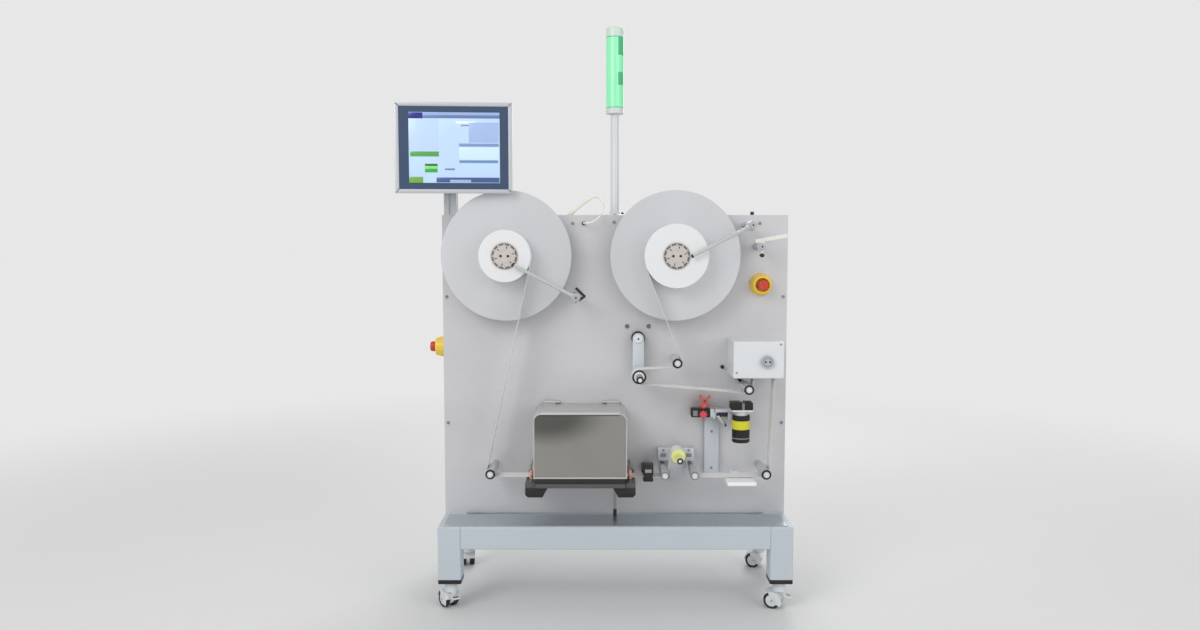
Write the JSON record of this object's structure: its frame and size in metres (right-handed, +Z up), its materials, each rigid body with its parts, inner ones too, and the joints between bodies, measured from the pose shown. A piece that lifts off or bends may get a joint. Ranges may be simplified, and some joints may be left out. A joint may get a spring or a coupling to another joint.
{
  "type": "label coding machine",
  "caption": "Free-standing label coding and rewinding machine: reels, guide rollers, dancer arm, hooded coder, camera and touch panel on a faceplate over a wheeled stand.",
  "frame": {"origin": "on the floor, midway along the stand, under the front face of the faceplate", "axes": "+X to the right seen from the front, +Y from the front into the machine, +Z up"},
  "size_m": [1.2059, 0.514, 1.793],
  "materials": {
    "pale_powder_coat": "satin",
    "cabinet_powder_coat": "satin",
    "door_powder_coat": "satin",
    "faceplate_aluminium": "satin",
    "deck_steel": "brushed",
    "black_plastic": "matte",
    "fitting_steel": "satin",
    "handle_black": "matte",
    "reel_disc_aluminium": "frosted",
    "reel_hub_aluminium": "satin",
    "label_roll": "matte",
    "shaft_steel": "turned",
    "roller_aluminium": "turned",
    "dancer_aluminium": "satin",
    "dancer_roller_plastic": "matte",
    "label_web": "matte",
    "capstan_rubber": "matte",
    "block_aluminium": "satin",
    "white_enclosure": "satin",
    "metering_black": "matte",
    "station_grey": "satin",
    "print_head_black": "anodised",
    "hood_stainless": "polished",
    "sensor_black": "matte",
    "white_plate": "satin",
    "camera_black": "anodised",
    "keeper_steel": "turned",
    "stop_yellow": "gloss",
    "stop_red": "gloss",
    "post_aluminium": "anodised",
    "bracket_grey": "satin",
    "panel_grey": "matte",
    "mast_white": "gloss",
    "lamp_green": "translucent",
    "cable_cream": "matte",
    "motor_paint": "satin",
    "electrical_grey": "matte",
    "caster_white": "satin",
    "tread_black": "matte"
  },
  "bodies": {
    "machine": {"stand_frame": "pale_powder_coat", "leg_plugs": "black_plastic", "deck_panel": "deck_steel", "faceplate": "faceplate_aluminium", "cabinet_panels": "cabinet_powder_coat", "cabinet_fittings": "fitting_steel", "fixed_shafts": "shaft_steel", "dancer_web": "label_web", "label_web": "label_web", "capstan_block": "block_aluminium", "metering_box": "white_enclosure", "print_station": "station_grey", "fork_sensor": "sensor_black", "inspection_stand": "white_plate", "stop_shrouds": "stop_yellow", "hmi_post": "post_aluminium", "tower_mast": "mast_white", "tower_lens": "lamp_green", "tower_cable": "cable_cream", "drives": "motor_paint", "electrical_panel": "electrical_grey"},
    "supply_reel": {"supply_hub": "reel_hub_aluminium", "supply_disc": "reel_disc_aluminium", "supply_roll": "label_roll"},
    "rewind_reel": {"rewind_hub": "reel_hub_aluminium", "rewind_disc": "reel_disc_aluminium", "rewind_roll": "label_roll"},
    "unwind_idler": {"unwind_idler": "roller_aluminium"},
    "upper_idler": {"upper_idler": "roller_aluminium"},
    "infeed_idler": {"infeed_idler": "roller_aluminium"},
    "outfeed_idler": {"outfeed_idler": "roller_aluminium"},
    "guide_roller_left": {"guide_roller_left": "roller_aluminium"},
    "guide_roller_right": {"guide_roller_right": "roller_aluminium"},
    "dancer_arm": {"dancer_arm": "dancer_aluminium"},
    "dancer_roller": {"dancer_roller": "dancer_roller_plastic"},
    "capstan": {"capstan": "capstan_rubber"},
    "metering_roller": {"metering_roller": "metering_black"},
    "print_head": {"print_head": "print_head_black"},
    "hood": {"hood": "hood_stainless"},
    "camera_head": {"camera_head": "camera_black"},
    "rewind_keeper": {"rewind_keeper": "keeper_steel"},
    "supply_keeper": {"supply_keeper": "keeper_steel"},
    "edge_arm": {"edge_arm": "block_aluminium"},
    "stop_button_front": {"stop_button_front": "stop_red"},
    "stop_button_side": {"stop_button_side": "stop_red"},
    "hmi_bracket": {"hmi_bracket": "bracket_grey"},
    "hmi_panel": {"hmi_panel": "panel_grey"},
    "door_left": {"door_left": "door_powder_coat"},
    "door_right": {"door_right": "door_powder_coat"},
    "door_handle": {"door_handle": "handle_black"},
    "caster_front_left": {"caster_front_left": "caster_white"},
    "wheels_front_left": {"wheels_front_left": "tread_black"},
    "pedal_front_left": {"pedal_front_left": "caster_white"},
    "caster_front_right": {"caster_front_right": "caster_white"},
    "wheels_front_right": {"wheels_front_right": "tread_black"},
    "pedal_front_right": {"pedal_front_right": "caster_white"},
    "caster_rear_left": {"caster_rear_left": "caster_white"},
    "wheels_rear_left": {"wheels_rear_left": "tread_black"},
    "caster_rear_right": {"caster_rear_right": "caster_white"},
    "wheels_rear_right": {"wheels_rear_right": "tread_black"}
  },
  "joints": [
    {"name": "supply_reel_spin", "type": "hinge", "parent": "machine", "child": "supply_reel", "pos_m": [0.184, -0.095, 1.081], "axis": [0, -1, 0], "continuous": true},
    {"name": "rewind_reel_spin", "type": "hinge", "parent": "machine", "child": "rewind_reel", "pos_m": [-0.334, -0.095, 1.081], "axis": [0, -1, 0], "continuous": true},
    {"name": "unwind_idler_spin", "type": "hinge", "parent": "machine", "child": "unwind_idler", "pos_m": [0.185, -0.095, 0.761], "axis": [0, -1, 0], "continuous": true},
    {"name": "upper_idler_spin", "type": "hinge", "parent": "machine", "child": "upper_idler", "pos_m": [0.4, -0.095, 0.681], "axis": [0, -1, 0], "continuous": true},
    {"name": "metering_roller_spin", "type": "hinge", "parent": "machine", "child": "metering_roller", "pos_m": [0.458, -0.095, 0.763], "axis": [0, -1, 0], "continuous": true},
    {"name": "infeed_idler_spin", "type": "hinge", "parent": "machine", "child": "infeed_idler", "pos_m": [0.455, -0.095, 0.423], "axis": [0, -1, 0], "continuous": true},
    {"name": "guide_right_spin", "type": "hinge", "parent": "machine", "child": "guide_roller_right", "pos_m": [0.239, -0.095, 0.4195], "axis": [0, -1, 0], "continuous": true},
    {"name": "capstan_spin", "type": "hinge", "parent": "machine", "child": "capstan", "pos_m": [0.192, -0.095, 0.471], "axis": [0, -1, 0], "continuous": true},
    {"name": "guide_left_spin", "type": "hinge", "parent": "machine", "child": "guide_roller_left", "pos_m": [0.149, -0.095, 0.4195], "axis": [0, -1, 0], "continuous": true},
    {"name": "outfeed_idler_spin", "type": "hinge", "parent": "machine", "child": "outfeed_idler", "pos_m": [-0.378, -0.095, 0.424], "axis": [0, -1, 0], "continuous": true},
    {"name": "dancer_swing", "type": "hinge", "parent": "machine", "child": "dancer_arm", "pos_m": [0.072, -0.036, 0.823], "axis": [0, -1, 0], "range_deg": [-20, 20], "deforming": ["dancer_web"]},
    {"name": "dancer_roller_spin", "type": "hinge", "parent": "dancer_arm", "child": "dancer_roller", "pos_m": [0.072, -0.095, 0.7145], "axis": [0, -1, 0], "continuous": true},
    {"name": "hood_lift", "type": "hinge", "parent": "machine", "child": "hood", "pos_m": [-0.106, -0.01, 0.6195], "axis": [-1, 0, 0], "range_deg": [0, 90]},
    {"name": "print_head_press", "type": "slide", "parent": "machine", "child": "print_head", "axis": [0, 0, -1], "range_m": [0, 0.003], "stiffness_N_per_m": 4000, "springref_m": -0.002},
    {"name": "camera_height", "type": "slide", "parent": "machine", "child": "camera_head", "axis": [0, 0, 1], "range_m": [-0.04, 0.01]},
    {"name": "rewind_keeper_swing", "type": "hinge", "parent": "machine", "child": "rewind_keeper", "pos_m": [-0.119, -0.14, 0.957], "axis": [0, 1, 0], "range_deg": [0, 95]},
    {"name": "supply_keeper_swing", "type": "hinge", "parent": "machine", "child": "supply_keeper", "pos_m": [0.407, -0.14, 1.173], "axis": [0, 1, 0], "range_deg": [0, 95]},
    {"name": "edge_arm_swing", "type": "hinge", "parent": "machine", "child": "edge_arm", "pos_m": [0.442, -0.1, 1.109], "axis": [0, -1, 0], "range_deg": [-60, 60]},
    {"name": "front_stop_press", "type": "slide", "parent": "machine", "child": "stop_button_front", "axis": [0, 1, 0], "range_m": [0, 0.004], "stiffness_N_per_m": 3000, "springref_m": -0.001},
    {"name": "side_stop_press", "type": "slide", "parent": "machine", "child": "stop_button_side", "axis": [1, 0, 0], "range_m": [0, 0.004], "stiffness_N_per_m": 3000, "springref_m": -0.001},
    {"name": "panel_swivel", "type": "hinge", "parent": "machine", "child": "hmi_bracket", "pos_m": [-0.517, 0.04, 1.399], "axis": [0, 0, -1], "range_deg": [-2, 60]},
    {"name": "panel_tilt", "type": "hinge", "parent": "hmi_bracket", "child": "hmi_panel", "pos_m": [-0.51128, -0.0418, 1.399], "axis": [-0.9976, -0.0698, 0], "range_deg": [-5, 25]},
    {"name": "door_left_swing", "type": "hinge", "parent": "machine", "child": "door_left", "pos_m": [-0.541, 0.285, 0.733], "axis": [0, 0, 1], "range_deg": [0, 110]},
    {"name": "door_right_swing", "type": "hinge", "parent": "machine", "child": "door_right", "pos_m": [0.541, 0.285, 0.733], "axis": [0, 0, -1], "range_deg": [0, 110]},
    {"name": "handle_turn", "type": "hinge", "parent": "door_right", "child": "door_handle", "pos_m": [0.03, 0.288, 0.733], "axis": [0, 1, 0], "range_deg": [0, 90]},
    {"name": "swivel_front_left", "type": "hinge", "parent": "machine", "child": "caster_front_left", "pos_m": [-0.505, -0.125, 0.085], "axis": [0, 0, 1], "continuous": true},
    {"name": "roll_front_left", "type": "hinge", "parent": "caster_front_left", "child": "wheels_front_left", "pos_m": [-0.51647, -0.10862, 0.025], "axis": [-0.8192, -0.5736, 0], "continuous": true},
    {"name": "brake_front_left", "type": "hinge", "parent": "caster_front_left", "child": "pedal_front_left", "pos_m": [-0.49582, -0.13811, 0.04], "axis": [-0.8192, -0.5736, 0], "range_deg": [0, 15]},
    {"name": "swivel_front_right", "type": "hinge", "parent": "machine", "child": "caster_front_right", "pos_m": [0.505, -0.125, 0.085], "axis": [0, 0, 1], "continuous": true},
    {"name": "roll_front_right", "type": "hinge", "parent": "caster_front_right", "child": "wheels_front_right", "pos_m": [0.48621, -0.11816, 0.025], "axis": [-0.342, -0.9397, 0], "continuous": true},
    {"name": "brake_front_right", "type": "hinge", "parent": "caster_front_right", "child": "pedal_front_right", "pos_m": [0.52004, -0.13047, 0.04], "axis": [-0.342, -0.9397, 0], "range_deg": [0, 15]},
    {"name": "swivel_rear_left", "type": "hinge", "parent": "machine", "child": "caster_rear_left", "pos_m": [-0.505, 0.253, 0.085], "axis": [0, 0, 1], "continuous": true},
    {"name": "roll_rear_left", "type": "hinge", "parent": "caster_rear_left", "child": "wheels_rear_left", "pos_m": [-0.50847, 0.2727, 0.025], "axis": [-0.9848, -0.1736, 0], "continuous": true},
    {"name": "swivel_rear_right", "type": "hinge", "parent": "machine", "child": "caster_rear_right", "pos_m": [0.505, 0.253, 0.085], "axis": [0, 0, 1], "continuous": true},
    {"name": "roll_rear_right", "type": "hinge", "parent": "caster_rear_right", "child": "wheels_rear_right", "pos_m": [0.48568, 0.25818, 0.025], "axis": [-0.2588, -0.9659, 0], "continuous": true}
  ],
  "couplings": [
    {"joint": "unwind_idler_spin", "follows": "supply_reel_spin", "ratio": -6.2733},
    {"joint": "dancer_roller_spin", "follows": "rewind_reel_spin", "ratio": 3.6077},
    {"joint": "upper_idler_spin", "follows": "rewind_reel_spin", "ratio": 5.1158},
    {"joint": "metering_roller_spin", "follows": "rewind_reel_spin", "ratio": -2.8875},
    {"joint": "infeed_idler_spin", "follows": "rewind_reel_spin", "ratio": -5.1158},
    {"joint": "guide_right_spin", "follows": "rewind_reel_spin", "ratio": -5.8708},
    {"joint": "capstan_spin", "follows": "rewind_reel_spin", "ratio": 3.6077},
    {"joint": "guide_left_spin", "follows": "rewind_reel_spin", "ratio": -5.8708},
    {"joint": "outfeed_idler_spin", "follows": "rewind_reel_spin", "ratio": -5.1158}
  ]
}
